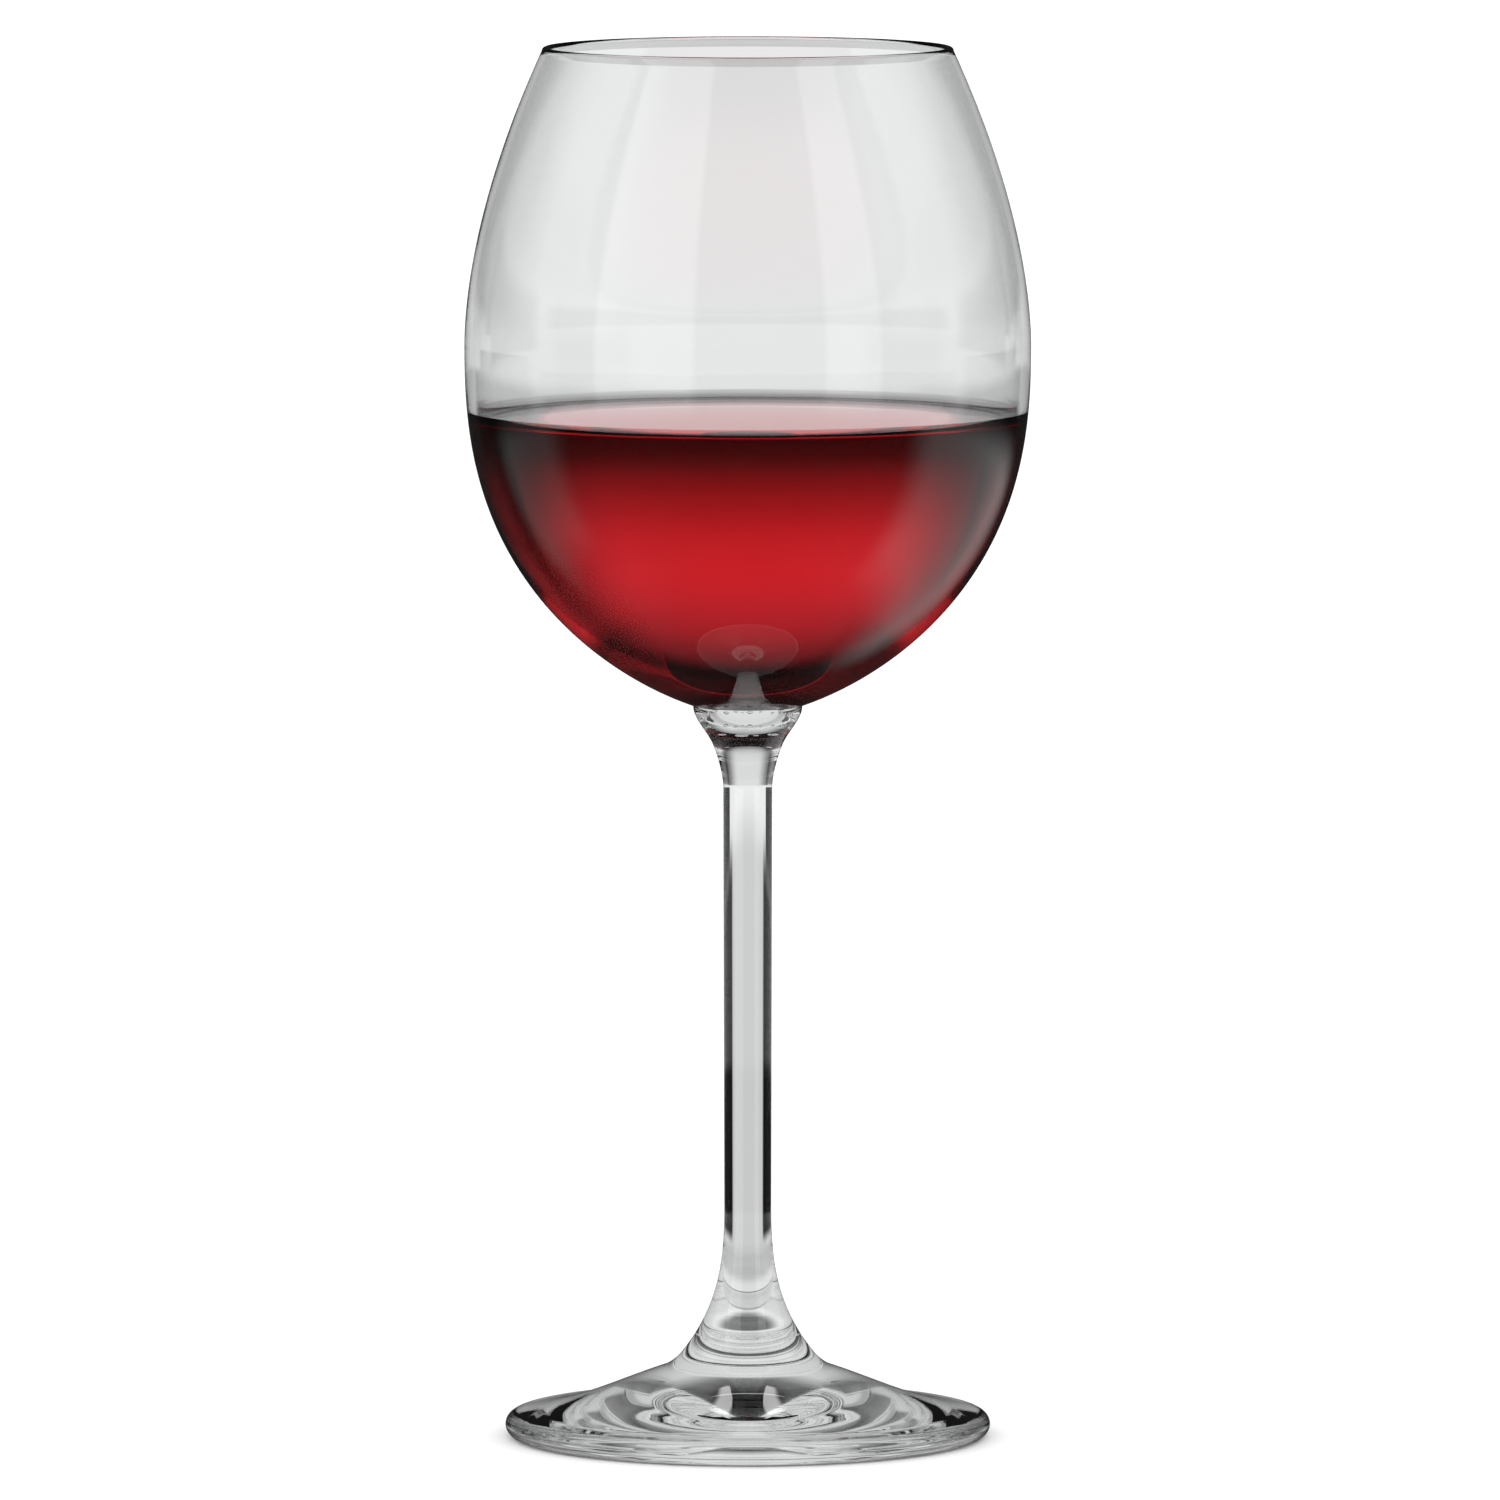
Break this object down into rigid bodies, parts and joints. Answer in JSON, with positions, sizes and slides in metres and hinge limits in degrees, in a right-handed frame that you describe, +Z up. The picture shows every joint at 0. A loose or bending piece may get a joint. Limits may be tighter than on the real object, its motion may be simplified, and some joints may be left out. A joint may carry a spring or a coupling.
{
  "type": "wine glass",
  "caption": "Clear stemmed wine glass with a tulip bowl drawn in at the rim, a slim flared stem and a conical foot, holding a pour of red wine.",
  "frame": {"origin": "centre of the ring that the foot stands on, at the bottom of the glass", "axes": "+Z up the stem, which is the axis of every turned surface; X and Y are alike"},
  "size_m": [0.084, 0.084, 0.207],
  "materials": {
    "clear_glass": "polished",
    "red_wine": "polished"
  },
  "bodies": {
    "root": {"bowl": "clear_glass", "stem": "clear_glass", "foot": "clear_glass", "wine": "red_wine"}
  },
  "joints": []
}
